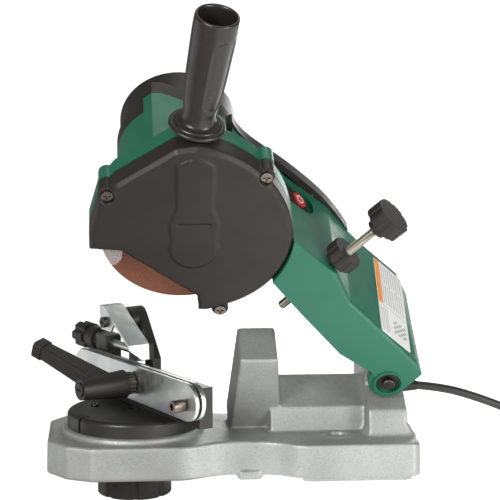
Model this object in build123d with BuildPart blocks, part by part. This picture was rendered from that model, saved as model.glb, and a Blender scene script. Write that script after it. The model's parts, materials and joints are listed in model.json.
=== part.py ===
"""Bench-mounted saw-chain grinder: cast base, swivelling chain vise and a tilted, hinged grinding head.

Frame: the origin is midway between the two bench bolts, on the underside of the base.
+X runs along the base towards the hinge, +Y away from the operator, +Z up. Millimetres.
The head is built on its own tilted plane: V points along the wheel spindle, up and away from
the operator, and W lies in the wheel's plane, up and towards the operator.
"""
from build123d import *
import os
from math import atan2, cos, degrees, radians, sin, tan

# ---------------------------------------------------------------- driving dimensions
BASE_TOP = 35.0
BOLT_SPACING = 80.0
BOLT_HOLE_R = 4.5
TABLE_X = -184.0
TABLE_R = 61.0
RIM_R = 65.0
RIM_TOP = 40.0
TABLE_TOP = 54.0
TABLE_BORE_R = 5.05
PIVOT_BOLT_R = 5.0

VISE_ANGLE = 30.0          # the vise as stored, turned from square
PLATE_LOW = 62.0
PLATE_HIGH = 96.0
PLATE_T = 4.0
CHAIN_GAP = 2.6
STUD_A = 7.0
STUD_Z = 80.0
STUD_R = 4.0
GUIDE_SCREW_A = (96.0, -82.0)
GUIDE_SCREW_Z = 76.0
ROD_B = 15.0
ROD_Z = 103.0
ROD_R = 4.0
PAWL_A = -43.0
PAWL_Z = 128.3

HEAD_TILT = 30.0           # spindle against the horizontal
WHEEL_X = -140.5
WHEEL_W = 238.0
WHEEL_V = 47.0
WHEEL_R = 72.5
WHEEL_T = 3.2
WHEEL_BORE_R = 11.1
SPINDLE_R = 6.0
HINGE_X = 45.5
HINGE_W = 92.0
HINGE_R = 6.0
RUN = 0.05                 # radial clearance of a running fit
GAP = 0.4                  # gap between bodies that only pass each other

COVER_FACE_V = 23.0
COVER_BACK_V = 45.0
FLANGE_BACK_V = 62.0
ARM_BACK_V = 118.0
SEAM_V = 160.0
MOTOR_END_V = 225.0
MOTOR_R = 53.5

STOP_SCREW_ANGLE = 47.0    # the depth-stop screw, in the wheel's plane
STOP_SCREW_END = (-53.0, 160.5)
STOP_SCREW_V = 36.0
STOP_SCREW_LENGTH = 128.0

CORD_R = 4.0

V = Vector(0, cos(radians(HEAD_TILT)), sin(radians(HEAD_TILT)))
W = Vector(0, -sin(radians(HEAD_TILT)), cos(radians(HEAD_TILT)))
X = Vector(1, 0, 0)
ALONG = Vector(sin(radians(VISE_ANGLE)), -cos(radians(VISE_ANGLE)), 0)
ACROSS = Vector(cos(radians(VISE_ANGLE)), sin(radians(VISE_ANGLE)), 0)


def head_point(x, v, w):
    """A point of the tilted head from its place along X, V and W."""
    return X * x + V * v + W * w


def head_plane(v, x=0.0, w=0.0):
    """A sketch plane at v whose local x, y are X, W and whose normal faces the operator."""
    return Plane(origin=head_point(x, v, w), x_dir=X, z_dir=V * -1)


def vise_point(a, b, z):
    """A point of the vise from its place along the plates, across them and up."""
    return Vector(TABLE_X, 0, z) + ALONG * a + ACROSS * b


def vise_plane(b, a=0.0, z=0.0):
    """A sketch plane across the vise: local x runs along the plates, local y is up."""
    return Plane(origin=vise_point(a, b, z), x_dir=ALONG, z_dir=ACROSS * -1)


def outline(points):
    """A closed straight-sided face on the current sketch."""
    with BuildLine() as line:
        Polyline(*points, close=True)
    make_face(line.edges())


def finish(part, name):
    """Label a piece and write it to its file."""
    part.label = name
    export_step(part, f"parts/{name}.step")


os.makedirs("parts", exist_ok=True)

# ================================================================ base
NOSE_LEFT = -263.0
BASE_RIGHT = 72.0
BASE_HALF = 74.0
WAIST_HALF = 56.0
FOOT_Z = 4.0
TOP_WALL = 9.0
KNOB_R = 34.0


def base_outline():
    """Half-octagon nose round the table, a narrow waist and a square heel."""
    with BuildLine() as line:
        Polyline((-196, BASE_HALF), (-222, BASE_HALF), (-246, 62), (NOSE_LEFT, 38), (NOSE_LEFT, 0))
        Spline((-150, BASE_HALF), (-112, 60), (-82, WAIST_HALF), (-55, 62), (-26, BASE_HALF),
               tangents=((1, 0), (1, 0)))
        Line((-196, BASE_HALF), (-150, BASE_HALF))
        Polyline((-26, BASE_HALF), (BASE_RIGHT - 6, BASE_HALF), (BASE_RIGHT, BASE_HALF - 6), (BASE_RIGHT, 0))
        mirror(about=Plane.XZ)
    make_face(line.edges())


POST_TOP_W = 117.0
RIB_TOP_W = 59.5
POST_FRONT_V = 12.0
POST_BACK_V = 58.0
BOSS_R = 14.0
BOSS_FRONT_V = 30.0
BOSS_BACK_V = 104.5
TOWER_HALF = 18.0

with BuildPart() as base:
    with BuildSketch(Plane.XY.offset(FOOT_Z)):
        base_outline()
    extrude(amount=BASE_TOP - FOOT_Z, taper=1.5)
    # machined rim under the table
    with BuildSketch(Plane.XY.offset(BASE_TOP - 4)):
        with Locations((TABLE_X, 0)):
            Circle(RIM_R)
    extrude(amount=RIM_TOP - BASE_TOP + 4)
    # feet
    for x0, x1 in ((-92, -70), (-34, 64)):
        for side in (-1, 1):
            with BuildSketch(Plane.XY):
                with Locations(((x0 + x1) / 2, side * (WAIST_HALF - 6 if x1 < -50 else 60))):
                    RectangleRounded(x1 - x0, 18, 4)
            extrude(amount=FOOT_Z + 4)
    with BuildSketch(Plane.XY.offset(1.0)):
        with Locations((TABLE_X, 0)):
            Circle(24)
    extrude(amount=6)
    # stop post: a drafted block that leans forward with the head
    with BuildSketch(head_plane(POST_BACK_V)):
        outline([(-97, 20), (-48, 20), (-55, POST_TOP_W), (-89.5, POST_TOP_W)])
    extrude(amount=POST_BACK_V - POST_FRONT_V)
    # rib between the post and the tower, its top square to the spindle like the post's
    rib_front = head_point(0, POST_FRONT_V, RIB_TOP_W)
    rib_back = head_point(0, POST_BACK_V, RIB_TOP_W)
    with BuildSketch(Plane.YZ.offset(-60)):
        outline([(rib_front.Y - 5, 30), (rib_back.Y + 8, 30), (rib_back.Y, rib_back.Z),
                 (rib_front.Y, rib_front.Z)])
    extrude(amount=100)
    # hinge tower and its boss
    with BuildSketch(Plane.YZ.offset(HINGE_X - TOWER_HALF)):
        foot = [(-48, BASE_TOP - 3), (-39, 58)]
        for v, w in ((-1, 70), (BOSS_FRONT_V, 70), (BOSS_FRONT_V, HINGE_W), (BOSS_BACK_V, HINGE_W),
                     (BOSS_BACK_V, 42)):
            point = head_point(0, v, w)
            foot.append((point.Y, point.Z))
        outline(foot + [(66, BASE_TOP - 3)])
    extrude(amount=2 * TOWER_HALF)
    with BuildSketch(Plane.XY.offset(BASE_TOP - 3)):
        with Locations((HINGE_X + 2, 8)):
            RectangleRounded(2 * TOWER_HALF + 14, 114, 8)
    extrude(amount=12, taper=30)
    with BuildSketch(head_plane(BOSS_BACK_V, HINGE_X, HINGE_W)):
        Circle(BOSS_R)
    extrude(amount=BOSS_BACK_V - BOSS_FRONT_V)
    # square the tower's sides round the boss
    for side in (-1, 1):
        with BuildSketch(head_plane(BOSS_BACK_V + 30, HINGE_X, HINGE_W)):
            with Locations((side * (BOSS_R + 10), 10)):
                Rectangle(20, 24)
        extrude(amount=160, mode=Mode.SUBTRACT)
    # everything below the base's own underside is cut away
    with BuildSketch(Plane.XY.offset(-60)):
        Rectangle(900, 400)
    extrude(amount=60, mode=Mode.SUBTRACT)
    # bench bolts: raised ring, recess and hole
    for side in (-1, 1):
        with BuildSketch(Plane.XY.offset(BASE_TOP - 2)):
            with Locations((0, side * BOLT_SPACING / 2)):
                Circle(13.5)
        extrude(amount=4.5)
        with BuildSketch(Plane.XY.offset(BASE_TOP + 2.5)):
            with Locations((0, side * BOLT_SPACING / 2)):
                Circle(8.5)
        extrude(amount=-5, mode=Mode.SUBTRACT)
        with BuildSketch(Plane.XY.offset(-1)):
            with Locations((0, side * BOLT_SPACING / 2)):
                Circle(10)
        extrude(amount=12)
        with BuildSketch(Plane.XY.offset(-2)):
            with Locations((0, side * BOLT_SPACING / 2)):
                Circle(BOLT_HOLE_R)
        extrude(amount=60, mode=Mode.SUBTRACT)
        with BuildSketch(Plane.XY.offset(-2)):
            with Locations((0, side * BOLT_SPACING / 2)):
                Circle(12)
        extrude(amount=2, mode=Mode.SUBTRACT)
    # hollow underside: a ring round the table bolt, and pockets under the post and the heel
    with BuildSketch(Plane.XY):
        with Locations((TABLE_X, 0)):
            Circle(54)
            Circle(27, mode=Mode.SUBTRACT)
        with Locations((-66, 0)):
            RectangleRounded(86, 84, 10)
        with Locations((42, 0)):
            RectangleRounded(40, 118, 8)
    extrude(amount=BASE_TOP - TOP_WALL, mode=Mode.SUBTRACT)
    # hinge pin bore and table bolt bore
    with BuildSketch(head_plane(BOSS_BACK_V + 20, HINGE_X, HINGE_W)):
        Circle(HINGE_R)
    extrude(amount=BOSS_BACK_V + 40, mode=Mode.SUBTRACT)
    with BuildSketch(Plane.XY.offset(-1)):
        with Locations((TABLE_X, 0)):
            Circle(PIVOT_BOLT_R + RUN)
    extrude(amount=60, mode=Mode.SUBTRACT)
finish(base.part, "base_casting")

PIN_FRONT_V = 3.0
PIN_BACK_V = 125.0
CLIP_V = (9.0, 122.6)      # the back face of each clip's groove
with BuildPart() as hinge_pin:
    with BuildSketch(head_plane(PIN_BACK_V, HINGE_X, HINGE_W)):
        Circle(HINGE_R)
    extrude(amount=PIN_BACK_V - PIN_FRONT_V)
    chamfer(hinge_pin.edges().filter_by(GeomType.CIRCLE), 0.8)
    for v in CLIP_V:
        with BuildSketch(head_plane(v, HINGE_X, HINGE_W)):
            Circle(HINGE_R + 1)
            Circle(HINGE_R - 1, mode=Mode.SUBTRACT)
        extrude(amount=1.1, mode=Mode.SUBTRACT)
finish(hinge_pin.part, "hinge_pin")

with BuildPart() as pin_clips:
    for v in CLIP_V:
        with BuildSketch(head_plane(v, HINGE_X, HINGE_W)):
            Circle(9.5)
            Circle(HINGE_R - 1 + 0.02, mode=Mode.SUBTRACT)
            with Locations((0, -8)):
                Rectangle(7, 12, mode=Mode.SUBTRACT)
        extrude(amount=1.0)
finish(pin_clips.part, "pin_clips")

# ================================================================ turntable and its clamp
DISC_SCREWS = ((-30.0, -24.0), (44.0, 30.0))
with BuildPart() as disc:
    with BuildSketch(Plane.XY.offset(RIM_TOP + 0.05)):
        with Locations((TABLE_X, 0)):
            Circle(TABLE_R)
    extrude(amount=TABLE_TOP - RIM_TOP - 0.05)
    fillet(disc.faces().sort_by(Axis.Z)[-1].edges(), 4)
    # the degree pointer's notch
    pointer = radians(180 + 36)
    with BuildSketch(Plane.XY.offset(RIM_TOP - 1)):
        with Locations(Location((TABLE_X + (TABLE_R - 3) * cos(pointer), (TABLE_R - 3) * sin(pointer)), 216)):
            Rectangle(16, 3)
    extrude(amount=20, mode=Mode.SUBTRACT)
    with BuildSketch(Plane.XY.offset(RIM_TOP - 1)):
        with Locations((TABLE_X, 0)):
            Circle(PIVOT_BOLT_R)
    extrude(amount=30, mode=Mode.SUBTRACT)
    for a, b in DISC_SCREWS:
        with BuildSketch(Plane(origin=vise_point(a, b, TABLE_TOP - 6), x_dir=X, z_dir=(0, 0, 1))):
            Circle(2.5)
        extrude(amount=10, mode=Mode.SUBTRACT)
finish(disc.part, "turntable_disc")

JAW_NEAR = CHAIN_GAP / 2 + PLATE_T
JAW_FAR = JAW_NEAR + 14
JAW_A = (-88.0, 104.0)
LUG_A = (-82.0, -62.0)
CARRIAGE_RAIL_Z = 72.0
with BuildPart() as jaw:
    with BuildSketch(vise_plane(JAW_NEAR)):
        outline([(JAW_A[0], 62), (-55, TABLE_TOP), (JAW_A[1], TABLE_TOP), (JAW_A[1], 91), (JAW_A[0], 91)])
    extrude(amount=-(JAW_FAR - JAW_NEAR))
    # lug that carries the chain-stop rod
    with BuildSketch(vise_plane(JAW_NEAR + 1.5)):
        outline([(LUG_A[0], 86), (LUG_A[1], 86), (LUG_A[1], ROD_Z + 8), (LUG_A[0], ROD_Z + 8)])
    extrude(amount=-16)
    with BuildSketch(Plane(origin=vise_point(-100, ROD_B, ROD_Z), x_dir=ACROSS, z_dir=ALONG)):
        Circle(ROD_R + RUN)
    extrude(amount=60, mode=Mode.SUBTRACT)
    # rail slot along the back for the chain-stop carriage
    with BuildSketch(vise_plane(JAW_FAR - 3)):
        with Locations((-10, CARRIAGE_RAIL_Z)):
            Rectangle(70, 8)
    extrude(amount=-10, mode=Mode.SUBTRACT)
    # seats for the stud and the guide screws
    for a, z, r in ((STUD_A, STUD_Z, STUD_R), (GUIDE_SCREW_A[0], GUIDE_SCREW_Z, 3),
                    (GUIDE_SCREW_A[1], GUIDE_SCREW_Z, 3)):
        with BuildSketch(vise_plane(JAW_NEAR - 1, a, z)):
            Circle(r)
        extrude(amount=-11, mode=Mode.SUBTRACT)
finish(jaw.part, "jaw_block")


def plate_sketch(clearance):
    """Guide plate: a long bar with a round front end and a tapered rear end."""
    with BuildLine() as line:
        Polyline((98, PLATE_LOW), (-84, PLATE_LOW + 3), (-100, PLATE_LOW + 12), (-100, PLATE_HIGH - 8),
                 (-90, PLATE_HIGH), (98, PLATE_HIGH))
        ThreePointArc((98, PLATE_HIGH), (115, (PLATE_LOW + PLATE_HIGH) / 2), (98, PLATE_LOW))
    make_face(line.edges())
    with Locations((STUD_A, STUD_Z)):
        Circle(STUD_R + clearance, mode=Mode.SUBTRACT)
    for a in GUIDE_SCREW_A:
        with Locations((a, GUIDE_SCREW_Z)):
            Circle(3 + clearance, mode=Mode.SUBTRACT)


with BuildPart() as rear_plate:
    with BuildSketch(vise_plane(CHAIN_GAP / 2)):
        plate_sketch(0)
    extrude(amount=-PLATE_T)
finish(rear_plate.part, "rear_guide_plate")

with BuildPart() as front_plate:
    with BuildSketch(vise_plane(-CHAIN_GAP / 2)):
        plate_sketch(RUN)
    extrude(amount=PLATE_T)
finish(front_plate.part, "front_guide_plate")

FRONT_FACE_B = -CHAIN_GAP / 2 - PLATE_T
COLLAR_B = FRONT_FACE_B - 1.6
HUB_END_B = -60.0
with BuildPart() as stud:
    with BuildSketch(vise_plane(JAW_NEAR + 9, STUD_A, STUD_Z)):
        Circle(STUD_R)
    extrude(amount=JAW_NEAR + 9 + 52)
finish(stud.part, "clamp_stud")

with BuildPart() as guide_screws:
    for a, head_length, head_r in ((GUIDE_SCREW_A[0], 11.5, 5.5), (GUIDE_SCREW_A[1], 6.0, 5.0)):
        with BuildSketch(vise_plane(JAW_NEAR + 9, a, GUIDE_SCREW_Z)):
            Circle(3)
        extrude(amount=JAW_NEAR + 9 - COLLAR_B)
        with BuildSketch(vise_plane(COLLAR_B, a, GUIDE_SCREW_Z)):
            Circle(head_r)
        extrude(amount=head_length)
        with BuildSketch(vise_plane(COLLAR_B - head_length, a, GUIDE_SCREW_Z)):
            RegularPolygon(3.2, 6)
        extrude(amount=-4, mode=Mode.SUBTRACT)
finish(guide_screws.part, "guide_screws")

with BuildPart() as disc_screws:
    for a, b in DISC_SCREWS:
        place = vise_point(a, b, TABLE_TOP - 6)
        with BuildSketch(Plane(origin=place, x_dir=X, z_dir=(0, 0, 1))):
            Circle(2.5)
        extrude(amount=6)
        with BuildSketch(Plane(origin=place + Vector(0, 0, 6), x_dir=X, z_dir=(0, 0, 1))):
            Circle(4.2)
        extrude(amount=1.6)
        with BuildSketch(Plane(origin=place + Vector(0, 0, 7.6), x_dir=X, z_dir=(0, 0, 1))):
            Rectangle(5.4, 1.1)
            Rectangle(1.1, 5.4)
        extrude(amount=-1.0, mode=Mode.SUBTRACT)
finish(disc_screws.part, "disc_screws")

# clamp lever, free to turn on the stud
LEVER_LENGTH = 80.0
lever_direction = (ALONG * -0.90 + ACROSS * -0.44 + Vector(0, 0, 0.38)).normalized()
with BuildPart() as lever:
    with BuildSketch(vise_plane(COLLAR_B - 8, STUD_A, STUD_Z)):
        Circle(13)
    with BuildSketch(vise_plane(HUB_END_B, STUD_A, STUD_Z)):
        Circle(9.5)
    loft()
    root = vise_point(STUD_A, COLLAR_B - 26, STUD_Z)
    with BuildSketch(Plane(origin=root, x_dir=ACROSS, z_dir=lever_direction)):
        RectangleRounded(24, 17, 4)
    lever_tip = Plane(origin=root + lever_direction * (LEVER_LENGTH - 8), x_dir=ACROSS, z_dir=lever_direction)
    with BuildSketch(lever_tip):
        RectangleRounded(16, 14, 4)
    loft()
    with BuildSketch(lever_tip):
        RectangleRounded(17.5, 16, 4)
    extrude(amount=9)
    with BuildSketch(vise_plane(COLLAR_B - 6, STUD_A, STUD_Z)):
        Circle(STUD_R + RUN)
    extrude(amount=53 + COLLAR_B, mode=Mode.SUBTRACT)
    with BuildSketch(vise_plane(-50, STUD_A, STUD_Z)):
        Circle(6.5)
    extrude(amount=20, mode=Mode.SUBTRACT)
finish(lever.part, "clamp_lever")

with BuildPart() as collar:
    with BuildSketch(vise_plane(COLLAR_B - 0.2, STUD_A, STUD_Z)):
        Circle(10.4)
        with PolarLocations(10.4, 16):
            Rectangle(1.6, 1.8, mode=Mode.SUBTRACT)
        Circle(STUD_R + RUN, mode=Mode.SUBTRACT)
    extrude(amount=7.8)
finish(collar.part, "lever_collar")

with BuildPart() as lever_screw:
    with BuildSketch(vise_plane(-54, STUD_A, STUD_Z)):
        Circle(6.5)
    extrude(amount=7.4)
    with BuildSketch(vise_plane(-61.4, STUD_A, STUD_Z)):
        Rectangle(8, 1.6)
    extrude(amount=-1.6, mode=Mode.SUBTRACT)
finish(lever_screw.part, "lever_screw")

# ---------------------------------------------------------------- chain stop
LEG_NEAR = JAW_FAR + 6.0
LEG_FAR = LEG_NEAR + 9
HUB_R = 12.0
HUB_NEAR = 18.5
LEG_A = (-22.0, -8.0)
with BuildPart() as carriage:
    with BuildSketch(vise_plane(LEG_FAR)):
        outline([(PAWL_A - 9, PAWL_Z + 6), (PAWL_A + 6, PAWL_Z + 11), (PAWL_A + 12, PAWL_Z + 4),
                 (LEG_A[1], 96), (LEG_A[1], 64), (LEG_A[0], 64), (LEG_A[0], 94), (PAWL_A - 9, PAWL_Z - 8)])
    extrude(amount=LEG_FAR - LEG_NEAR)
    with BuildSketch(vise_plane(LEG_FAR, PAWL_A, PAWL_Z)):
        Circle(HUB_R)
    extrude(amount=LEG_FAR - HUB_NEAR)
    with BuildSketch(vise_plane(HUB_NEAR, PAWL_A, PAWL_Z)):
        Circle(6)
    extrude(amount=HUB_NEAR + 1.5)
    # arm that reaches over the jaw to hold the rod
    with BuildSketch(vise_plane(LEG_NEAR + 1)):
        with Locations(((LEG_A[0] + LEG_A[1]) / 2, ROD_Z)):
            Rectangle(LEG_A[1] - LEG_A[0], 15)
    extrude(amount=LEG_NEAR + 1 - 8)
    with BuildSketch(Plane(origin=vise_point(LEG_A[0] - 5, ROD_B, ROD_Z), x_dir=ACROSS, z_dir=ALONG)):
        Circle(ROD_R)
    extrude(amount=16, mode=Mode.SUBTRACT)
    # tongue in the jaw's rail slot
    with BuildSketch(vise_plane(LEG_NEAR + 1)):
        with Locations(((LEG_A[0] + LEG_A[1]) / 2, CARRIAGE_RAIL_Z)):
            Rectangle(LEG_A[1] - LEG_A[0], 7)
    extrude(amount=LEG_NEAR + 1 - JAW_FAR + 2)
    with BuildSketch(vise_plane(-6, PAWL_A, PAWL_Z)):
        Circle(3)
    extrude(amount=-22, mode=Mode.SUBTRACT)
finish(carriage.part, "chain_stop_carriage")

ROD_START = -112.0
with BuildPart() as rod:
    with BuildSketch(Plane(origin=vise_point(ROD_START, ROD_B, ROD_Z), x_dir=ACROSS, z_dir=ALONG)):
        Circle(ROD_R)
    extrude(amount=11 - 5 + LEG_A[0] - ROD_START)
finish(rod.part, "chain_stop_rod")

PAWL_BACK_B = 17.0
PAWL_T = 2.0
PAWL_FLANGE_B = -2.2
TIP_A = -1.0
with BuildPart() as pawl:
    # strap: from the pivot down to the chain, bent upright at its tip
    with BuildSketch(vise_plane(PAWL_BACK_B)):
        outline([(PAWL_A - 12, PAWL_Z + 14.5), (PAWL_A - 4, PAWL_Z + 14.5), (TIP_A, 112.5),
                 (TIP_A + 1, 98), (TIP_A - 1, 98), (TIP_A - 2, 110.5),
                 (PAWL_A - 5.4, PAWL_Z + 12.5), (PAWL_A - 12, PAWL_Z + 12.5)])
    extrude(amount=PAWL_BACK_B - PAWL_FLANGE_B + PAWL_T)
    # the upright tip narrows to the side of the chain's cutters
    with BuildSketch(Plane(origin=vise_point(TIP_A - 10, 0, 0), x_dir=ACROSS, z_dir=ALONG)):
        outline([(PAWL_FLANGE_B - PAWL_T - 1, 109), (PAWL_FLANGE_B - PAWL_T - 1, 90), (9, 90), (9, 98)])
    extrude(amount=20, mode=Mode.SUBTRACT)
    # side flange with the pivot hole
    with BuildSketch(vise_plane(PAWL_FLANGE_B)):
        outline([(PAWL_A - 12, PAWL_Z + 14.4), (PAWL_A - 4.2, PAWL_Z + 14.4), (PAWL_A + 14, PAWL_Z - 1),
                 (PAWL_A + 9, PAWL_Z - 8), (PAWL_A - 9, PAWL_Z - 8)])
        with Locations((PAWL_A, PAWL_Z)):
            Circle(3 + RUN, mode=Mode.SUBTRACT)
    extrude(amount=PAWL_T)
finish(pawl.part, "chain_stop_pawl")

with BuildPart() as pawl_screw:
    with BuildSketch(vise_plane(16, PAWL_A, PAWL_Z)):
        Circle(3)
    extrude(amount=16 - PAWL_FLANGE_B + PAWL_T + 0.4)
    with BuildSketch(vise_plane(PAWL_FLANGE_B - PAWL_T - 0.4, PAWL_A, PAWL_Z)):
        Circle(5)
    extrude(amount=4)
    with BuildSketch(vise_plane(PAWL_FLANGE_B - PAWL_T - 4.4, PAWL_A, PAWL_Z)):
        Rectangle(7, 1.3)
        Rectangle(1.3, 7)
    extrude(amount=-1.8, mode=Mode.SUBTRACT)
finish(pawl_screw.part, "pawl_screw")

with BuildPart() as adjuster:
    along = Plane(origin=vise_point(LUG_A[0] - 0.4, ROD_B, ROD_Z), x_dir=ACROSS, z_dir=ALONG * -1)
    with BuildSketch(along):
        Circle(8.5)
    extrude(amount=5)
    with BuildSketch(along.offset(5)):
        Circle(11)
    extrude(amount=14)
    with BuildSketch(along.offset(19)):
        Circle(9.5)
    extrude(amount=3)
    with BuildSketch(along.offset(22)):
        Circle(12.5)
        with PolarLocations(13.5, 6, start_angle=30):
            Circle(3, mode=Mode.SUBTRACT)
    extrude(amount=18)
    with BuildSketch(along.offset(-1)):
        Circle(ROD_R + RUN)
    extrude(amount=38, mode=Mode.SUBTRACT)
finish(adjuster.part, "adjuster_knob")

# ---------------------------------------------------------------- pivot bolt and lock knob
with BuildPart() as pivot_bolt:
    with BuildSketch(Plane.XY.offset(-14)):
        with Locations((TABLE_X, 0)):
            Circle(PIVOT_BOLT_R)
    extrude(amount=14 + TABLE_TOP - 4)
finish(pivot_bolt.part, "pivot_bolt")

KNOB_TOP = -1.5
KNOB_LOW = -24.0
with BuildPart() as lock_knob:
    with BuildSketch(Plane.XY.offset(KNOB_LOW)):
        with Locations((TABLE_X, 0)):
            Circle(KNOB_R)
            with PolarLocations(KNOB_R + 2.8, 8):
                Circle(4.4, mode=Mode.SUBTRACT)
    extrude(amount=KNOB_TOP - 3 - KNOB_LOW)
    fillet(lock_knob.faces().sort_by(Axis.Z)[0].edges(), 1.5)
    with BuildSketch(Plane.XY.offset(KNOB_TOP - 3)):
        with Locations((TABLE_X, 0)):
            Circle(20)
    extrude(amount=3)
    with BuildSketch(Plane.XY.offset(KNOB_TOP)):
        with Locations((TABLE_X, 0)):
            Circle(9)
    extrude(amount=-16, mode=Mode.SUBTRACT)
finish(lock_knob.part, "lock_knob")

with BuildPart() as knob_insert:
    with BuildSketch(Plane.XY.offset(KNOB_TOP)):
        with Locations((TABLE_X, 0)):
            Circle(9)
            Circle(PIVOT_BOLT_R + RUN, mode=Mode.SUBTRACT)
    extrude(amount=-16)
finish(knob_insert.part, "knob_insert")

with BuildPart() as knob_washer:
    with BuildSketch(Plane.XY.offset(KNOB_TOP + 0.3)):
        with Locations((TABLE_X, 0)):
            Circle(17)
            Circle(PIVOT_BOLT_R + RUN, mode=Mode.SUBTRACT)
    extrude(amount=1.0 - KNOB_TOP - 0.3)
finish(knob_washer.part, "knob_washer")

# ================================================================ head
LUGS = ((-205.6, 290.0), (-72.0, 308.0), (-107.5, 163.5))
LUG_R = 7.5
BEVEL = 4.0
WORK_OPENING = [(-218, 226), (-193, 222), (-134, 158), (-116, 158), (-116, 176), (-124, 190), (-184, 240),
                (-218, 240)]


def guard_outline(grow=0.0):
    """The wheel cover's outline: round over the wheel, cut away low on the working side."""
    with BuildLine() as line:
        Polyline((-130, 341), (-149, 338), (-199, 303), (-213, 284), (-221.5, 250), (-221.5, 234),
                 (-195, 231.5), (-130, 181.5), (-128.5, 165), (-118, 164.5), (-100, 171.5))
        ThreePointArc((-100, 171.5), (-58, 206), (-46, 244))
        ThreePointArc((-46, 244), (-64, 298), (-130, 341))
    make_face(line.edges())
    if grow:
        offset(amount=grow, kind=Kind.INTERSECTION)


with BuildPart() as cover:
    with BuildSketch(head_plane(COVER_BACK_V)):
        guard_outline()
    extrude(amount=COVER_BACK_V - COVER_FACE_V - BEVEL)
    with BuildSketch(head_plane(COVER_FACE_V + BEVEL)):
        guard_outline()
    with BuildSketch(head_plane(COVER_FACE_V)):
        guard_outline(-BEVEL)
    loft(ruled=True)
    with BuildSketch(head_plane(COVER_BACK_V)):
        for place in LUGS:
            with Locations(place):
                Circle(LUG_R)
    extrude(amount=16)
    # raised shield-shaped pad with a slot across it
    with BuildSketch(head_plane(COVER_FACE_V + 1)):
        with BuildLine():
            ThreePointArc((-148, 322), (-132, 330), (-116, 322))
            Polyline((-116, 322), (-117, 280), (-111, 262), (-113, 244))
            ThreePointArc((-113, 244), (-132, 216), (-151, 244))
            Polyline((-151, 244), (-153, 262), (-147, 280), (-148, 322))
        make_face()
    extrude(amount=2.6)
    with BuildSketch(head_plane(COVER_FACE_V - 1.6)):
        with Locations((-132, 262)):
            SlotOverall(30, 3.4)
    extrude(amount=-1.4, mode=Mode.SUBTRACT)
    # hollow for the wheel
    with BuildSketch(head_plane(COVER_BACK_V)):
        guard_outline(-3.0)
        for place in LUGS:
            with Locations(place):
                Circle(LUG_R + 0.5, mode=Mode.SUBTRACT)
    extrude(amount=COVER_BACK_V - COVER_FACE_V - 3, mode=Mode.SUBTRACT)
    # the working side is open to the wheel
    with BuildSketch(head_plane(COVER_BACK_V)):
        outline(WORK_OPENING)
    extrude(amount=COVER_BACK_V - COVER_FACE_V - 3, mode=Mode.SUBTRACT)
    for place in LUGS:
        with BuildSketch(head_plane(COVER_BACK_V, *place)):
            Circle(2.5)
        extrude(amount=30, mode=Mode.SUBTRACT)
        with BuildSketch(head_plane(COVER_BACK_V - 16, *place)):
            Circle(5.8)
        extrude(amount=12, mode=Mode.SUBTRACT)
finish(cover.part, "wheel_cover")

ARM_UNDER = [(60, 86), (45, 86), (29, 104.5), (18.7, 111), (0.2, 123.2), (-34.9, 164), (-63, 198.5)]
ARM = [(-46, 242), (-7, 208), (6, 179), (28, 157), (52, 133), (70, 115), (75, 104)] + ARM_UNDER
ARM_REAR = [(-46, 242), (-7, 208), (12, 182), (31, 161.5), (46, 146.5), (63, 129.5), (75, 104)] + ARM_UNDER
ARM_HEAD = [(-80, 215), (-100, 250), (-96, 297), (-86, 283), (-71, 270)]   # where it runs into the body
ARM_CAVITY = [(-9, 203.5), (2.5, 185), (10, 173), (10, 114), (-4, 128), (-24, 153), (-44, 182), (-58, 196),
              (-68, 214), (-78, 240), (-74, 266)]
HINGE_CAVITY = [(4, 172), (26, 150), (49, 127), (66, 112), (70.5, 104), (70.5, 84), (66, 66), (24, 66),
                (24, 98), (14, 110), (-2, 122)]
LUG_FRONT_V = 17.0
LUG_BACK_V = 105.0
FLARE = degrees(atan2(17, 160))
ARM_RUN = (X - W).normalized()
STOP_RUN = X * cos(radians(STOP_SCREW_ANGLE)) + W * sin(radians(STOP_SCREW_ANGLE))
HANDLE_LEAN = 8.0
HANDLE_V = 52.0
HANDLE_FOOT = (-130.5, 343.0)
HANDLE_RUN = X * sin(radians(HANDLE_LEAN)) + W * cos(radians(HANDLE_LEAN))
TOP_NORMAL = (X + W).normalized()
SWITCH_LENGTH = 52.0
SWITCH_WIDTH = 21.0
BUTTON_PITCH = 26.0
switch_top = Plane(origin=head_point(-45.4, 98, 239.4), x_dir=ARM_RUN, z_dir=TOP_NORMAL)
STATOR_R = 50.4
BORE_R = 50.5
BEARING_R = 16.0


def stop_plane(s):
    """A plane across the depth-stop screw, s along it from its lower end."""
    end = head_point(STOP_SCREW_END[0], STOP_SCREW_V, STOP_SCREW_END[1])
    return Plane(origin=end + STOP_RUN * s, x_dir=V, z_dir=STOP_RUN)


def handle_plane(s):
    """A plane across the side handle, s up it from its foot."""
    foot = head_point(HANDLE_FOOT[0], HANDLE_V, HANDLE_FOOT[1])
    return Plane(origin=foot + HANDLE_RUN * s, x_dir=V, z_dir=HANDLE_RUN)


def spindle_disc(v_back, length, radius, hole=0.0, mode=Mode.ADD):
    """A disc or ring on the spindle axis, from v_back towards the operator."""
    with BuildSketch(head_plane(v_back, WHEEL_X, WHEEL_W)) as section:
        Circle(radius)
        if hole:
            Circle(hole, mode=Mode.SUBTRACT)
    extrude(section.sketch, amount=length, mode=mode)


CHANNEL = [(-173, 255), (-173, 300), (-166, 305), (-157, 305), (-120, 290), (-140, 250)]

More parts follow.
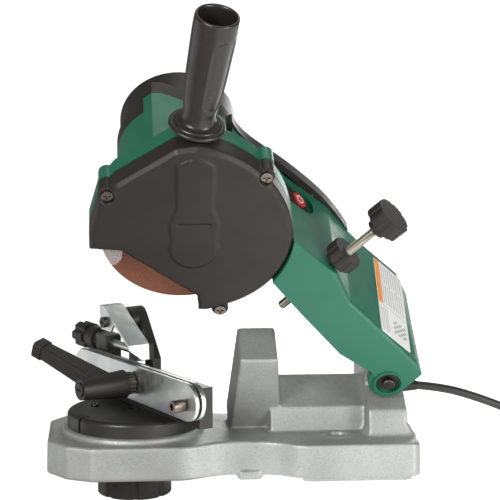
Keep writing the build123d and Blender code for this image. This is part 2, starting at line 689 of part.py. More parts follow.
# the arm: a drafted block, its front face flaring towards the operator at the hinge
ARM_BOSS_R = 18.0
flare_face = Plane(
    origin=head_point(-46, 24, 242),
    x_dir=ARM_RUN * cos(radians(FLARE)) - V * sin(radians(FLARE)),
    z_dir=V * -cos(radians(FLARE)) - ARM_RUN * sin(radians(FLARE)),
)
with BuildPart() as arm:
    with BuildSketch(head_plane(ARM_BACK_V)):
        outline(ARM_REAR)
    with BuildSketch(head_plane(0)):
        outline(ARM)
    loft(ruled=True)
    with BuildSketch(flare_face):
        Rectangle(600, 600)
    extrude(amount=60, mode=Mode.SUBTRACT)
    front = arm.faces().sort_by(Axis(origin=(0, 0, 0), direction=tuple(flare_face.z_dir)))[-1]
    upper = [edge for edge in front.edges() if (edge @ 0.5).X + (edge @ 0.5).dot(W) > 160]
    fillet([edge for edge in upper if -4 < (edge @ 0.5).X < 66], 5)

with BuildPart() as housing:
    with BuildSketch(head_plane(FLANGE_BACK_V)):
        guard_outline()
    extrude(amount=FLANGE_BACK_V - COVER_BACK_V - 0.3)
    for place in LUGS:
        with BuildSketch(head_plane(FLANGE_BACK_V, *place)):
            Circle(LUG_R)
        extrude(amount=FLANGE_BACK_V - COVER_BACK_V - 0.3)
    # body behind the wheel, narrowing to the motor
    with BuildSketch(head_plane(FLANGE_BACK_V - 2)):
        with Locations((WHEEL_X + 3, WHEEL_W + 5)):
            Circle(71)
    with BuildSketch(head_plane(116)):
        with Locations((WHEEL_X, WHEEL_W)):
            Circle(MOTOR_R + 3)
    loft()
    spindle_disc(SEAM_V, SEAM_V - 110, MOTOR_R + 3)
    with BuildSketch(head_plane(SEAM_V)):
        outline(CHANNEL)
    extrude(amount=SEAM_V - FLANGE_BACK_V + 4)
    # arm down to the hinge, with the round boss of the hinge pin
    add(arm.part)
    with BuildSketch(head_plane(ARM_BACK_V)):
        outline(ARM_REAR[:2] + ARM_UNDER[-1:] + ARM_HEAD)
    extrude(amount=ARM_BACK_V - COVER_BACK_V)
    with BuildSketch(head_plane(ARM_BACK_V, HINGE_X, HINGE_W)):
        Circle(ARM_BOSS_R)
    extrude(amount=ARM_BACK_V - 8)
    with BuildSketch(head_plane(8, HINGE_X, HINGE_W)):
        Circle(13.5)
    extrude(amount=2.5)
    # clear of the wheel cover
    with BuildSketch(head_plane(COVER_BACK_V + 0.3)):
        guard_outline(0.4)
    extrude(amount=60, mode=Mode.SUBTRACT)
    # seat for the side handle
    with BuildSketch(handle_plane(-18)):
        Circle(16)
    extrude(amount=17.7)
    with BuildSketch(head_plane(COVER_BACK_V + 0.3)):
        with Locations((-130, 325)):
            Rectangle(60, 40)
    extrude(amount=40, mode=Mode.SUBTRACT)
    # wheel side: recess in front of the wall
    with BuildSketch(head_plane(COVER_BACK_V + 8)):
        guard_outline(-3.0)
        for place in LUGS:
            with Locations(place):
                Circle(LUG_R + 0.5, mode=Mode.SUBTRACT)
    extrude(amount=9, mode=Mode.SUBTRACT)
    with BuildSketch(head_plane(COVER_BACK_V + 8)):
        outline(WORK_OPENING)
    extrude(amount=9, mode=Mode.SUBTRACT)
    # motor bore and the plenum round the fan
    spindle_disc(SEAM_V + 1, SEAM_V + 1 - FLANGE_BACK_V, BORE_R, mode=Mode.SUBTRACT)
    with BuildSketch(head_plane(FLANGE_BACK_V + 1)):
        with Locations((WHEEL_X + 3, WHEEL_W + 5)):
            Circle(64)
    with BuildSketch(head_plane(100)):
        with Locations((WHEEL_X, WHEEL_W)):
            Circle(BORE_R)
    loft(mode=Mode.SUBTRACT)
    # inside of the arm, closed by the rear cover
    with BuildSketch(head_plane(ARM_BACK_V + 1)):
        outline(ARM_CAVITY)
    extrude(amount=ARM_BACK_V + 1 - 52, mode=Mode.SUBTRACT)
    # channel round the hinge tower, open below
    with BuildSketch(head_plane(LUG_BACK_V)):
        outline(HINGE_CAVITY)
    extrude(amount=LUG_BACK_V - LUG_FRONT_V, mode=Mode.SUBTRACT)
    # front bearing seat
    spindle_disc(74, 14, BEARING_R + 4)
    spindle_disc(75, 11, BEARING_R, mode=Mode.SUBTRACT)
    spindle_disc(76, 40, SPINDLE_R + 2, mode=Mode.SUBTRACT)
    # depth-stop screw boss and its clearance hole
    with BuildSketch(stop_plane(18)):
        Circle(9)
    extrude(amount=46)
    with BuildSketch(stop_plane(-10)):
        Circle(ROD_R + RUN)
    extrude(amount=120, mode=Mode.SUBTRACT)
    with BuildSketch(stop_plane(67)):
        Circle(13)
    extrude(amount=40, mode=Mode.SUBTRACT)
    # hinge bores with a pocket for the front clip
    with BuildSketch(head_plane(150, HINGE_X, HINGE_W)):
        Circle(HINGE_R + RUN)
    extrude(amount=160, mode=Mode.SUBTRACT)
    with BuildSketch(head_plane(9.4, HINGE_X, HINGE_W)):
        Circle(11.5)
    extrude(amount=20, mode=Mode.SUBTRACT)
    # screw holes of the cover, and of the handle
    for place in LUGS:
        with BuildSketch(head_plane(FLANGE_BACK_V - 3, *place)):
            Circle(2.5)
        extrude(amount=30, mode=Mode.SUBTRACT)
    with BuildSketch(handle_plane(-14)):
        Circle(5)
    extrude(amount=30, mode=Mode.SUBTRACT)
    # long recess for the switch, on the arm's upper side
    with BuildSketch(switch_top):
        SlotOverall(SWITCH_LENGTH + 8, 27)
    extrude(amount=30, mode=Mode.SUBTRACT)
    with BuildSketch(switch_top):
        SlotOverall(SWITCH_LENGTH + 0.6, SWITCH_WIDTH + 0.6)
    extrude(amount=-9, mode=Mode.SUBTRACT)
finish(housing.part, "head_housing")

# ---------------------------------------------------------------- cover screws, shield, handle
with BuildPart() as cover_screws:
    for place in LUGS:
        with BuildSketch(head_plane(FLANGE_BACK_V - 4, *place)):
            Circle(2.5)
        extrude(amount=FLANGE_BACK_V - 4 - COVER_BACK_V + 16)
        with BuildSketch(head_plane(COVER_BACK_V - 16, *place)):
            Circle(5)
        extrude(amount=2.6)
        with BuildSketch(head_plane(COVER_BACK_V - 18.6, *place)):
            Rectangle(6.5, 1.3)
            Rectangle(1.3, 6.5)
        extrude(amount=-1.6, mode=Mode.SUBTRACT)
finish(cover_screws.part, "cover_screws")

SHIELD_V = COVER_FACE_V + 5.1
with BuildPart() as shield:
    with BuildSketch(head_plane(SHIELD_V)):
        outline([(-217, 246), (-217.5, 236), (-211, 213), (-198, 218), (-193.5, 224), (-193.5, 246)])
        with Locations((-205, 241)):
            Circle(2, mode=Mode.SUBTRACT)
    extrude(amount=2.0)
finish(shield.part, "eye_shield")

with BuildPart() as shield_screw:
    with BuildSketch(head_plane(SHIELD_V, -205, 241)):
        Circle(2)
    extrude(amount=2.0)
    with BuildSketch(head_plane(SHIELD_V + 1.8, -205, 241)):
        Circle(4)
        Rectangle(5, 1, mode=Mode.SUBTRACT)
    extrude(amount=1.8)
finish(shield_screw.part, "shield_screw")

GRIP_LENGTH = 109.0
GRIP_PROFILE = ((6.0, 14.2), (17.0, 14.0), (24.0, 15.1), (38.0, 16.6), (72.0, 18.0), (100.0, 18.8),
                (GRIP_LENGTH, 18.4))   # height and radius
with BuildPart() as handle:
    with BuildSketch(handle_plane(0)):
        Circle(24.3)
    extrude(amount=4)
    with BuildSketch(handle_plane(4)):
        Circle(24.3)
    with BuildSketch(handle_plane(7)):
        Circle(16)
    loft()
    for low, high in zip(GRIP_PROFILE, GRIP_PROFILE[1:]):
        with BuildSketch(handle_plane(low[0])):
            Circle(low[1])
        with BuildSketch(handle_plane(high[0])):
            Circle(high[1])
        loft()
    with BuildSketch(handle_plane(16)):
        Circle(9.5)
    with BuildSketch(handle_plane(GRIP_LENGTH)):
        Circle(15.4)
    loft(mode=Mode.SUBTRACT)
    with BuildSketch(handle_plane(-1)):
        Circle(5)
    extrude(amount=20, mode=Mode.SUBTRACT)
finish(handle.part, "side_handle")

with BuildPart() as handle_bolt:
    with BuildSketch(handle_plane(-14)):
        Circle(5)
    extrude(amount=30)
    with BuildSketch(handle_plane(16)):
        RegularPolygon(8.5, 6)
    extrude(amount=6)
finish(handle_bolt.part, "handle_bolt")

# ---------------------------------------------------------------- motor cover
LIP_V = SEAM_V + 18
with BuildPart() as motor_cover:
    spindle_disc(LIP_V, LIP_V - SEAM_V - 0.3, MOTOR_R + 3)
    with BuildSketch(head_plane(LIP_V)):
        outline(CHANNEL)
    extrude(amount=LIP_V - SEAM_V - 0.3)
    spindle_disc(MOTOR_END_V - 10, MOTOR_END_V - 10 - LIP_V + 1, MOTOR_R)
    with BuildSketch(head_plane(MOTOR_END_V - 10, WHEEL_X, WHEEL_W)):
        Circle(MOTOR_R)
    with BuildSketch(head_plane(MOTOR_END_V, WHEEL_X, WHEEL_W)):
        Circle(MOTOR_R - 9)
    loft()
    spindle_disc(MOTOR_END_V - 12, MOTOR_END_V, 49, mode=Mode.SUBTRACT)
    spindle_disc(MOTOR_END_V - 8, 10, BEARING_R + 4)
    spindle_disc(MOTOR_END_V - 12, 10, BEARING_R, mode=Mode.SUBTRACT)
    with BuildSketch(head_plane(MOTOR_END_V + 1, WHEEL_X, WHEEL_W)):
        with PolarLocations(33, 10):
            SlotOverall(16, 4)
    extrude(amount=20, mode=Mode.SUBTRACT)
finish(motor_cover.part, "motor_cover")

with BuildPart() as motor_screws:
    for angle in (45, 135, 225, 315):
        place = (WHEEL_X + 46 * cos(radians(angle)), WHEEL_W + 46 * sin(radians(angle)))
        with BuildSketch(head_plane(MOTOR_END_V - 12, *place)):
            Circle(2)
        extrude(amount=60)
finish(motor_screws.part, "motor_screws")

REAR_TOP = [(-96, 303), (-88, 289), (-65.5, 268), (-46, 252), (-22.6, 230), (-8, 214), (3, 199), (14, 181)]
REAR_UNDER = [(10, 173), (10, 119), (-2, 129), (-26, 157), (-46, 181), (-62, 197), (-78, 215), (-100, 250),
              (-101, 300)]
REAR_SCREWS = ((-22.0, 220.0), (4.0, 126.0), (-66.0, 206.0))
REAR_V = 130.0
with BuildPart() as rear_cover:
    with BuildSketch(head_plane(REAR_V)):
        with BuildLine() as edge:
            Spline(*REAR_TOP)
            Polyline(REAR_TOP[-1], *REAR_UNDER, REAR_TOP[0])
        make_face(edge.edges())
        with Locations((WHEEL_X, WHEEL_W)):
            Circle(MOTOR_R + 3.3, mode=Mode.SUBTRACT)
    extrude(amount=REAR_V - ARM_BACK_V - 0.3)
    with BuildSketch(head_plane(REAR_V - 4)):
        outline([(-70, 262), (-46, 245), (-10, 206), (6, 176), (6, 120), (-24, 158), (-44, 186), (-76, 222)])
        with Locations((WHEEL_X, WHEEL_W)):
            Circle(MOTOR_R + 8, mode=Mode.SUBTRACT)
    extrude(amount=20, mode=Mode.SUBTRACT)
    for place in REAR_SCREWS:
        with BuildSketch(head_plane(REAR_V + 1, *place)):
            Circle(2)
        extrude(amount=20, mode=Mode.SUBTRACT)
finish(rear_cover.part, "arm_rear_cover")

with BuildPart() as rear_screws:
    for place in REAR_SCREWS:
        with BuildSketch(head_plane(REAR_V, *place)):
            Circle(2)
        extrude(amount=REAR_V - ARM_BACK_V - 0.3)
        with BuildSketch(head_plane(REAR_V + 2, *place)):
            Circle(4)
        extrude(amount=2)
finish(rear_screws.part, "rear_cover_screws")

# ---------------------------------------------------------------- motor and wheel
with BuildPart() as stator:
    spindle_disc(150, 45, STATOR_R, hole=31)
    with BuildSketch(head_plane(158, WHEEL_X, WHEEL_W)):
        with PolarLocations(40, 2, start_angle=90):
            Rectangle(12, 34)
    extrude(amount=61)
finish(stator.part, "motor_stator")

with BuildPart() as armature:
    spindle_disc(148, 41, 30)
    with BuildSketch(head_plane(148, WHEEL_X, WHEEL_W)):
        with PolarLocations(29, 12):
            Rectangle(5, 3)
    extrude(amount=41, mode=Mode.SUBTRACT)
    spindle_disc(156, 57, 22)
    spindle_disc(MOTOR_END_V - 13, MOTOR_END_V - 13 - 34, SPINDLE_R)
finish(armature.part, "motor_armature")

with BuildPart() as commutator:
    spindle_disc(184, 20, 16, hole=SPINDLE_R)
    with BuildSketch(head_plane(184, WHEEL_X, WHEEL_W)):
        with PolarLocations(16, 24):
            Rectangle(1.6, 0.6)
    extrude(amount=20, mode=Mode.SUBTRACT)
finish(commutator.part, "commutator")

with BuildPart() as fan:
    spindle_disc(92, 12, 12, hole=SPINDLE_R)
    spindle_disc(92, 2, 46, hole=SPINDLE_R)
    with BuildSketch(head_plane(90, WHEEL_X, WHEEL_W)):
        with PolarLocations(30, 12):
            Rectangle(30, 1.8)
    extrude(amount=10)
finish(fan.part, "cooling_fan")

for name, back in (("front_bearing", 74), ("rear_bearing", MOTOR_END_V - 12)):
    with BuildPart() as bearing:
        spindle_disc(back, 10, BEARING_R, hole=SPINDLE_R + RUN)
        spindle_disc(back, 1, BEARING_R - 3, hole=SPINDLE_R + 3, mode=Mode.SUBTRACT)
        spindle_disc(back - 9, 1, BEARING_R - 3, hole=SPINDLE_R + 3, mode=Mode.SUBTRACT)
    finish(bearing.part, name)

with BuildPart() as holders:
    with BuildSketch(head_plane(180, WHEEL_X, WHEEL_W)):
        with PolarLocations(33, 2):
            Rectangle(30, 12)
        with PolarLocations(33, 2):
            Rectangle(31, 8, mode=Mode.SUBTRACT)
    extrude(amount=12)
finish(holders.part, "brush_holders")

with BuildPart() as brushes:
    with BuildSketch(head_plane(178, WHEEL_X, WHEEL_W)):
        with PolarLocations(26, 2):
            Rectangle(19, 7.8)
    extrude(amount=8)
finish(brushes.part, "carbon_brushes")

WHEEL_BACK = WHEEL_V + WHEEL_T / 2
WHEEL_FRONT = WHEEL_V - WHEEL_T / 2
with BuildPart() as inner_flange:
    spindle_disc(WHEEL_BACK + 4, 4, 21, hole=SPINDLE_R)
    spindle_disc(WHEEL_BACK, WHEEL_T - 0.4, WHEEL_BORE_R - 0.05, hole=SPINDLE_R)
finish(inner_flange.part, "inner_flange")

with BuildPart() as wheel:
    spindle_disc(WHEEL_BACK, WHEEL_T, WHEEL_R, hole=WHEEL_BORE_R)
finish(wheel.part, "grinding_wheel")

with BuildPart() as outer_flange:
    spindle_disc(WHEEL_FRONT, 3, 21, hole=SPINDLE_R)
finish(outer_flange.part, "outer_flange")

with BuildPart() as wheel_nut:
    with BuildSketch(head_plane(WHEEL_FRONT - 3, WHEEL_X, WHEEL_W)):
        RegularPolygon(10.5, 6)
        Circle(SPINDLE_R, mode=Mode.SUBTRACT)
    extrude(amount=7)
finish(wheel_nut.part, "wheel_nut")

# ---------------------------------------------------------------- hinge spring, switch, depth stop
SPRING_TURNS = 5
SPRING_WIRE = 0.85
with BuildPart() as return_spring:
    for turn in range(SPRING_TURNS):
        with BuildSketch(head_plane(28.6 - 1.95 * turn, HINGE_X, HINGE_W)):
            Circle(9.5 + SPRING_WIRE)
            Circle(9.5 - SPRING_WIRE, mode=Mode.SUBTRACT)
        extrude(amount=2.0)
finish(return_spring.part, "return_spring")

with BuildPart() as switch:
    with BuildSketch(switch_top.offset(-9)):
        SlotOverall(SWITCH_LENGTH, SWITCH_WIDTH)
    extrude(amount=5)
    with BuildSketch(switch_top.offset(-4)):
        SlotOverall(SWITCH_LENGTH, SWITCH_WIDTH)
        for side in (-1, 1):
            with Locations((side * BUTTON_PITCH / 2, 0)):
                Circle(8.1, mode=Mode.SUBTRACT)
    extrude(amount=5)
finish(switch.part, "switch_body")

for name, side in (("on_button", -1), ("off_button", 1)):
    with BuildPart() as button:
        with BuildSketch(switch_top.offset(-1.9)):
            with Locations((side * BUTTON_PITCH / 2, 0)):
                Circle(8)
        extrude(amount=4.5)
        fillet(button.faces().sort_by(Axis(origin=(0, 0, 0), direction=tuple(TOP_NORMAL)))[-1].edges(), 1)
    finish(button.part, name)

with BuildPart() as stop_screw:
    with BuildSketch(stop_plane(0)):
        Circle(ROD_R)
    extrude(amount=STOP_SCREW_LENGTH)
    lower_edge = stop_screw.edges().filter_by(GeomType.CIRCLE).sort_by(Axis((0, 0, 0), tuple(STOP_RUN)))[0]
    chamfer(lower_edge, 0.8)
finish(stop_screw.part, "depth_screw")

with BuildPart() as lock_nut:
    with BuildSketch(stop_plane(68)):
        Circle(12)
    extrude(amount=3)
    with BuildSketch(stop_plane(71)):
        Circle(15.5)
        with PolarLocations(17.4, 10):
            Circle(2.9, mode=Mode.SUBTRACT)
    extrude(amount=12)
    with BuildSketch(stop_plane(60)):
        Circle(ROD_R + RUN)
    extrude(amount=40, mode=Mode.SUBTRACT)
finish(lock_nut.part, "depth_lock_nut")

with BuildPart() as stop_knob:
    with BuildSketch(stop_plane(115)):
        Circle(9)
    extrude(amount=8)
    with BuildSketch(stop_plane(122)):
        Circle(17.5)
        with PolarLocations(19.9, 7):
            Circle(3.6, mode=Mode.SUBTRACT)
    extrude(amount=15)
    with BuildSketch(stop_plane(110)):
        Circle(ROD_R + RUN)
    extrude(amount=STOP_SCREW_LENGTH - 110 + GAP, mode=Mode.SUBTRACT)
finish(stop_knob.part, "depth_knob")

# ---------------------------------------------------------------- label
LABEL_T = 0.4
top_low = head_point(52, 0, 133)
top_high = head_point(46, ARM_BACK_V, 146.5)
label_run = (top_high - top_low - ARM_RUN * (top_high - top_low).dot(ARM_RUN)).normalized()
label_centre = head_point(49.5, 0, 135.5) + label_run * 63
label_face = Plane(origin=label_centre, x_dir=label_run, z_dir=ARM_RUN.cross(label_run))
with BuildPart() as label:
    with BuildSketch(label_face):
        RectangleRounded(100, 40, 2)
    extrude(amount=LABEL_T)
finish(label.part, "arm_label")

# ---------------------------------------------------------------- cord
GLAND_Y = 45.0
GLAND_Z = 61.5
GLAND_LENGTH = 22.0
with BuildPart() as gland:
    gland_face = Plane(origin=(HINGE_X + TOWER_HALF, GLAND_Y, GLAND_Z), x_dir=(0, 1, 0), z_dir=(1, 0, 0))
    with BuildSketch(gland_face):
        RegularPolygon(8, 6)
    extrude(amount=3)
    with BuildSketch(gland_face.offset(3)):
        Circle(6.5)
    with BuildSketch(gland_face.offset(GLAND_LENGTH)):
        Circle(CORD_R + 0.5)
    loft()
finish(gland.part, "cord_gland")

COIL_CENTRE = (250.0, 120.0)
COIL_R = 46.0              # at the middle of five turns: three below, two above
COIL_WIDTH = 24.2
COIL_HEIGHT = 15.2
TO_COIL = [
    (HINGE_X + TOWER_HALF + GLAND_LENGTH, GLAND_Y, GLAND_Z),
    (110, 45.5, 59),
    (142, 46.5, 49.5),
    (178, 48, 35),
    (214, 52, 20),
    (252, 62, 8.5),
    (289, 88, 5.5),
]
TO_PLUG = [
    (COIL_CENTRE[0] + COIL_R + 4, COIL_CENTRE[1], 11.5),
    (301, 146, 9),
    (297, 174, 6),
    (286, 199, 6.5),
    (272, 220, 9),
]


def cord_path(points):
    """Straight runs joined by arcs as large as the two runs beside each point allow."""
    places = [Vector(*point) for point in points]
    radii = []
    for before, here, after in zip(places, places[1:], places[2:]):
        half_turn = radians((here - before).get_angle(after - here)) / 2
        shorter = min((here - before).length, (after - here).length)
        radii.append(0.45 * shorter / tan(half_turn))
    print("cord radii", [round(radius) for radius in radii])
    return FilletPolyline(*places, radius=radii)


with BuildPart() as cord:
    for points in (TO_COIL, TO_PLUG):
        with BuildLine():
            path = cord_path(points)
        with BuildSketch(Plane(origin=path @ 0, z_dir=path % 0)):
            Circle(CORD_R)
        sweep(path=path)
        print("cord length", round(path.length, 1))
finish(cord.part, "power_cord")

with BuildPart() as coil:
    with BuildSketch(Plane(origin=(*COIL_CENTRE, COIL_HEIGHT / 2 + 0.1), x_dir=X, z_dir=(0, -1, 0))):
        with Locations((COIL_R, 0)):
            RectangleRounded(COIL_WIDTH, COIL_HEIGHT, 6)
    revolve(axis=Axis((*COIL_CENTRE, 0), (0, 0, 1)))
finish(coil.part, "cord_coil")

plug_start = Vector(*TO_PLUG[-1])
plug_run = Vector(plug_start.X - TO_PLUG[-2][0], plug_start.Y - TO_PLUG[-2][1], 0).normalized()
plug_face = Plane(origin=plug_start, x_dir=Vector(-plug_run.Y, plug_run.X, 0), z_dir=plug_run)
with BuildPart() as plug:
    with BuildSketch(plug_face):
        RectangleRounded(11, 10, 3)
    with BuildSketch(plug_face.offset(16)):
        RectangleRounded(26, 17, 5)
    loft()
    with BuildSketch(plug_face.offset(16)):
        RectangleRounded(26, 17, 5)
    extrude(amount=20)
finish(plug.part, "mains_plug")

with BuildPart() as blades:
    with BuildSketch(plug_face.offset(36)):
        with Locations((-6.35, 0), (6.35, 0)):
            Rectangle(1.5, 6.4)
    extrude(amount=17)
finish(blades.part, "plug_blades")
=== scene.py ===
"""Looks of the bench saw-chain grinder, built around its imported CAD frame. Metres, row frame."""
import json
from math import atan2, cos, pi, radians, sin

import bmesh
import bpy
from mathutils import Matrix, Vector


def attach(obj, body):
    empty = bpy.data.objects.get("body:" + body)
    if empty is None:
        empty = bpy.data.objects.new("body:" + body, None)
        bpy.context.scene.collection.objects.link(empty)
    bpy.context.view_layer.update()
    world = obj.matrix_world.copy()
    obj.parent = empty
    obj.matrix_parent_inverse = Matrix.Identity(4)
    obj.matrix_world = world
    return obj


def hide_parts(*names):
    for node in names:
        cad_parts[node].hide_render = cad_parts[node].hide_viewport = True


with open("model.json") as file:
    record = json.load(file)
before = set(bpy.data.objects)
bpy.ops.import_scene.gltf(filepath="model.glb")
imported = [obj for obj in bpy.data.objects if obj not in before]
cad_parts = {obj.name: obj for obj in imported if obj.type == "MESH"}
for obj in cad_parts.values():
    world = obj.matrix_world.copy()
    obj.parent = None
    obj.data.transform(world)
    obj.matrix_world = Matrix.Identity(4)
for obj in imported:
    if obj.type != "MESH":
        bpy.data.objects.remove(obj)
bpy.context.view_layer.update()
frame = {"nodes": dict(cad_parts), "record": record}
NODES = frame["nodes"]
BODIES = frame["record"]["behaviour"]["bodies"]
BODY_OF = {node: body for body, members in BODIES.items() for node in members}
MM = 0.001

# ---------------------------------------------------------------- the frame's own axes
HEAD_TILT = radians(30)
X = Vector((1, 0, 0))
V = Vector((0, cos(HEAD_TILT), sin(HEAD_TILT)))       # along the spindle, away from the operator
W = Vector((0, -sin(HEAD_TILT), cos(HEAD_TILT)))      # in the wheel's plane, upwards
TABLE_X = -184.0                                      # the turntable's axis, in millimetres along X


def head_point(x, v, w):
    """A point of the tilted head, from millimetres along X, V and W."""
    return (X * x + V * v + W * w) * MM


def axes(origin, x_axis, z_axis):
    """The matrix of a local frame with that origin, x and z."""
    z_axis = z_axis.normalized()
    x_axis = (x_axis - z_axis * x_axis.dot(z_axis)).normalized()
    y_axis = z_axis.cross(x_axis)
    matrix = Matrix((x_axis, y_axis, z_axis)).transposed().to_4x4()
    matrix.translation = origin
    return matrix


# ---------------------------------------------------------------- materials
def socket(node, name, value):
    node.inputs[name].default_value = value


def shader_of(name, colour, roughness, metallic=0.0, **more):
    """A new material with its uniform values set on the shader; returns (material, tree, shader)."""
    material = bpy.data.materials.new(name)
    material.use_nodes = True
    tree = material.node_tree
    shader = tree.nodes["Principled BSDF"]
    socket(shader, "Base Color", (*colour, 1))
    socket(shader, "Roughness", roughness)
    socket(shader, "Metallic", metallic)
    for key, value in more.items():
        socket(shader, key.replace("_", " "), value)
    return material, tree, shader


def grain(tree, scale, detail=2.0):
    """Noise in the object's own coordinates, scale in features per metre."""
    place = tree.nodes.new("ShaderNodeTexCoord").outputs["Object"]
    noise = tree.nodes.new("ShaderNodeTexNoise")
    socket(noise, "Scale", scale)
    socket(noise, "Detail", detail)
    tree.links.new(place, noise.inputs["Vector"])
    return noise.outputs["Fac"]


def ramp(tree, factor, stops):
    """A colour ramp: stops are (position, colour)."""
    node = tree.nodes.new("ShaderNodeValToRGB")
    elements = node.color_ramp.elements
    while len(elements) < len(stops):
        elements.new(0.5)
    for element, (position, colour) in zip(elements, stops):
        element.position = position
        element.color = (*colour, 1)
    tree.links.new(factor, node.inputs["Fac"])
    return node.outputs["Color"]


def roughness_from(tree, shader, factor, low, high):
    """Roughness that wanders between low and high with a noise."""
    spread = tree.nodes.new("ShaderNodeMapRange")
    socket(spread, "From Min", 0.3)
    socket(spread, "From Max", 0.7)
    socket(spread, "To Min", low)
    socket(spread, "To Max", high)
    tree.links.new(factor, spread.inputs["Value"])
    tree.links.new(spread.outputs["Result"], shader.inputs["Roughness"])


def bumps(tree, shader, layers):
    """Bump from several (height, strength, distance) layers, each on top of the last."""
    normal = None
    for height, strength, distance in layers:
        node = tree.nodes.new("ShaderNodeBump")
        socket(node, "Strength", strength)
        socket(node, "Distance", distance)
        tree.links.new(height, node.inputs["Height"])
        if normal:
            tree.links.new(normal, node.inputs["Normal"])
        normal = node.outputs["Normal"]
    tree.links.new(normal, shader.inputs["Normal"])


def shade(colour, factor):
    """The colour made lighter or darker."""
    return tuple(min(1.0, part * factor) for part in colour)


def moulded(name, colour, roughness, texture=1500.0, depth=0.00006, strength=0.35, spread=0.12, **more):
    """Moulded plastic or paint: a fine all-over texture and slightly uneven gloss and colour."""
    material, tree, shader = shader_of(name, colour, roughness, **more)
    broad = grain(tree, 22, 3)
    tree.links.new(ramp(tree, broad, [(0.3, shade(colour, 1 - spread)), (0.7, shade(colour, 1 + spread))]),
                   shader.inputs["Base Color"])
    roughness_from(tree, shader, grain(tree, 60, 4), roughness - 0.05, roughness + 0.07)
    bumps(tree, shader, [(grain(tree, texture, 2), strength, depth)])
    return material


def plated(name, colour, roughness, tint=None):
    """Bright metal with cloudy patches and slightly uneven gloss; the darkest patches may be tinted."""
    material, tree, shader = shader_of(name, colour, roughness, 1.0)
    cloud = grain(tree, 45, 4)
    stops = [(0.32, shade(colour, 0.86)), (0.55, colour), (0.75, shade(colour, 1.1))]
    if tint:
        stops = [(0.30, tint), (0.52, colour), (0.72, shade(colour, 1.1))]
    tree.links.new(ramp(tree, cloud, stops), shader.inputs["Base Color"])
    roughness_from(tree, shader, grain(tree, 120, 5), roughness - 0.07, roughness + 0.1)
    bumps(tree, shader, [(grain(tree, 900, 3), 0.25, 0.00002)])
    return material


def casting():
    """Blasted sand casting: pale grey, a sandy skin with small pits, slow shade changes."""
    colour = (0.40, 0.405, 0.385)
    material, tree, shader = shader_of("sand_cast", colour, 0.5, 0.55)
    broad = ramp(tree, grain(tree, 16, 5), [(0.3, shade(colour, 0.84)), (0.7, shade(colour, 1.14))])
    speck = ramp(tree, grain(tree, 1300, 3), [(0.34, (0.62, 0.62, 0.60)), (0.5, (0.95, 0.95, 0.95)),
                                              (0.68, (1.0, 1.0, 1.0))])
    mix = tree.nodes.new("ShaderNodeMix")
    mix.data_type = "RGBA"
    mix.blend_type = "MULTIPLY"
    socket(mix, "Factor", 0.75)
    tree.links.new(broad, mix.inputs["A"])
    tree.links.new(speck, mix.inputs["B"])
    tree.links.new(mix.outputs["Result"], shader.inputs["Base Color"])
    roughness_from(tree, shader, grain(tree, 300, 3), 0.42, 0.6)
    bumps(tree, shader, [(grain(tree, 110, 3), 0.3, 0.0005), (grain(tree, 1100, 3), 0.6, 0.00022)])
    return material


def grit():
    """The wheel: brown-red grains of several shades in a rough bond."""
    material, tree, shader = shader_of("wheel_grit", (0.21, 0.075, 0.04), 0.85)
    place = tree.nodes.new("ShaderNodeTexCoord").outputs["Object"]
    cells = tree.nodes.new("ShaderNodeTexVoronoi")
    socket(cells, "Scale", 1500.0)
    tree.links.new(place, cells.inputs["Vector"])
    stops = [(0.0, (0.30, 0.115, 0.065)), (0.35, (0.215, 0.078, 0.042)), (0.8, (0.11, 0.038, 0.022))]
    shades = ramp(tree, cells.outputs["Distance"], stops)
    tree.links.new(shades, shader.inputs["Base Color"])
    bumps(tree, shader, [(cells.outputs["Distance"], 0.5, 0.0002), (grain(tree, 500, 3), 0.3, 0.0003)])
    return material


def clear():
    """Clear polycarbonate of the small eye shield."""
    material, tree, shader = shader_of("clear_sheet", (0.80, 0.84, 0.85), 0.06, 0.0, Alpha=0.13, IOR=1.5)
    socket(shader, "Coat Weight", 0.35)
    roughness_from(tree, shader, grain(tree, 90, 3), 0.03, 0.1)
    bumps(tree, shader, [(grain(tree, 40, 2), 0.08, 0.0003)])
    return material


GREEN = (0.011, 0.122, 0.070)
BLACK = (0.0200, 0.0160, 0.0130)
LOOKS = {
    "cast": casting(),
    "green": moulded("green_paint", GREEN, 0.38, texture=1700, depth=0.00004, strength=0.25, spread=0.07),
    "black": moulded("black_moulding", BLACK, 0.42, texture=1900, depth=0.00005, strength=0.3,
                     Specular_IOR_Level=0.34),
    "black_metal": moulded("black_coating", (0.019, 0.018, 0.016), 0.36, texture=1200, depth=0.00006),
    "zinc": plated("zinc_plate", (0.68, 0.695, 0.675), 0.36, tint=(0.58, 0.62, 0.64)),
    "steel": plated("bright_steel", (0.62, 0.61, 0.58), 0.25),
    "dark_steel": plated("black_oxide", (0.10, 0.09, 0.08), 0.36),
    "nickel": plated("nickel_plate", (0.22, 0.185, 0.15), 0.24),
    "brass": plated("brass_insert", (0.72, 0.52, 0.24), 0.28),
    "copper": plated("copper_bars", (0.70, 0.38, 0.22), 0.3),
    "abrasive": grit(),
    "clear": clear(),
    "red": moulded("red_button", (0.50, 0.018, 0.02), 0.32, strength=0.1),
    "dark_green": moulded("start_button", (0.015, 0.20, 0.05), 0.32, strength=0.1),
    "white": moulded("label_stock", (0.74, 0.74, 0.72), 0.42, texture=700, strength=0.1, spread=0.03),
    "cord": moulded("cord_sheath", (0.022, 0.021, 0.020), 0.44, texture=900, strength=0.2),
    "carbon": moulded("carbon_block", (0.03, 0.03, 0.032), 0.6),
}
